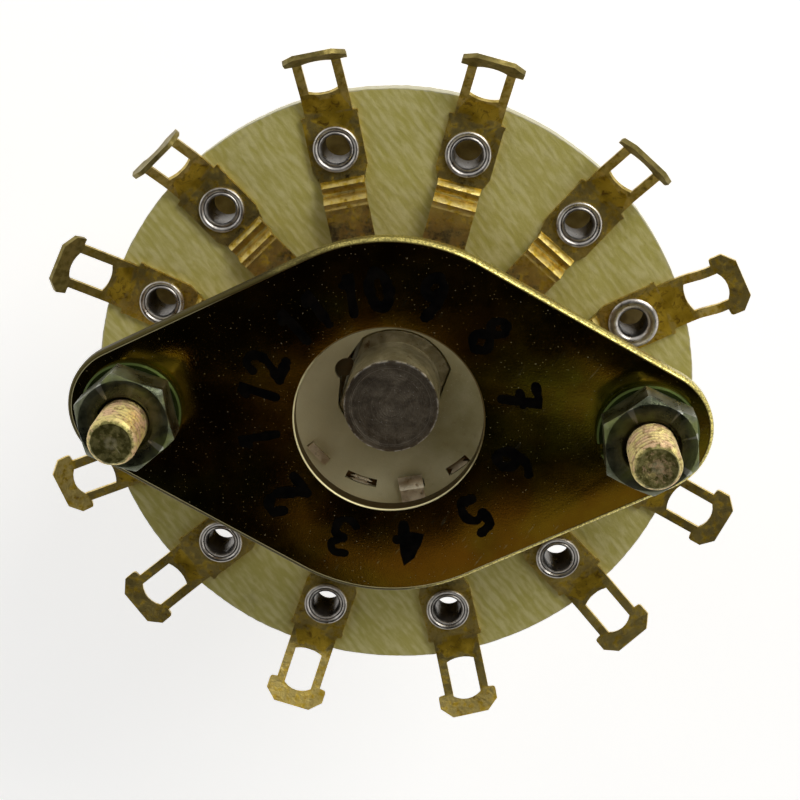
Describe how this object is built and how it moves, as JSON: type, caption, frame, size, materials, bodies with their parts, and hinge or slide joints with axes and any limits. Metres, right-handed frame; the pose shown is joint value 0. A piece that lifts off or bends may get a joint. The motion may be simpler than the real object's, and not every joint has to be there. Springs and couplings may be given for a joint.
{
  "type": "rotary selector switch",
  "caption": "Single-wafer rotary selector switch with a bushing for panel fixing, a turning shaft, a ring of solder lugs and a lozenge rear plate held by two long screws",
  "frame": {"origin": "centre of the shaft axis on the face that bears on the panel", "axes": "+Z along the shaft axis towards the rear, where the lugs and the rear plate are; +X through the two tie screws; the knob end of the shaft points along -Z"},
  "size_m": [0.0448, 0.0445, 0.0502],
  "materials": {
    "passivated_steel": "yellow-chromated zinc on steel, glossy, dark gold to olive",
    "nickel": "nickel-plated brass, satin",
    "zinc_steel": "bright zinc",
    "black_moulding": "moulded phenolic, satin",
    "phenolic": "brown laminate",
    "polished_steel": "polished",
    "spring_wire": "drawn wire",
    "shaft_steel": "turned steel, oiled and dulled",
    "screw_steel": "yellow-passivated thread, worn",
    "spacer_metal": "drawn tube",
    "glass_fibre": "glass-fibre laminate with its weave showing",
    "tinned_brass": "tinned",
    "contact_brass": "tarnished",
    "rotor_plastic": "ivory moulding",
    "blade_metal": "silver-plated brass, tarnished",
    "dark_zinc": "dark passivated zinc"
  },
  "bodies": {
    "root": {"front_plate": "passivated_steel", "bushing": "nickel", "panel_washer": "zinc_steel", "panel_nut": "nickel", "index_housing": "black_moulding", "detent_spring_lower": "spring_wire", "detent_spring_upper": "spring_wire", "cover_plate": "passivated_steel", "tie_screw_left": "screw_steel", "tie_screw_right": "screw_steel", "front_spacer_left": "spacer_metal", "front_spacer_right": "spacer_metal", "rear_spacer_left": "spacer_metal", "rear_spacer_right": "spacer_metal", "wafer": "glass_fibre", "eyelets": "tinned_brass", "contact_01": "contact_brass", "contact_02": "contact_brass", "contact_03": "contact_brass", "contact_04": "contact_brass", "contact_05": "contact_brass", "contact_06": "contact_brass", "contact_07": "contact_brass", "contact_08": "contact_brass", "contact_09": "contact_brass", "contact_10": "contact_brass", "contact_11": "contact_brass", "contact_12": "contact_brass", "rear_plate": "passivated_steel", "lock_washer_left": "dark_zinc", "lock_washer_right": "dark_zinc", "nut_left": "dark_zinc", "nut_right": "dark_zinc"},
    "rotor": {"shaft": "shaft_steel", "shaft_clip": "spring_wire", "detent_wheel": "phenolic", "rotor_disc": "rotor_plastic", "rotor_blade": "blade_metal", "rotor_ring": "blade_metal"},
    "ball_lower": {"detent_ball_lower": "polished_steel"},
    "ball_upper": {"detent_ball_upper": "polished_steel"}
  },
  "joints": [
    {"name": "shaft_turn", "type": "hinge", "parent": "root", "child": "rotor", "pos_m": [0, 0, 0], "axis": [0, 0, 1], "range_deg": [-150, 150]},
    {"name": "ball_lower_click", "type": "slide", "parent": "root", "child": "ball_lower", "axis": [0, 1, 0], "range_m": [0, 0.0006], "stiffness_N_per_m": 400},
    {"name": "ball_upper_click", "type": "slide", "parent": "root", "child": "ball_upper", "axis": [0, -1, 0], "range_m": [0, 0.0006], "stiffness_N_per_m": 400}
  ]
}
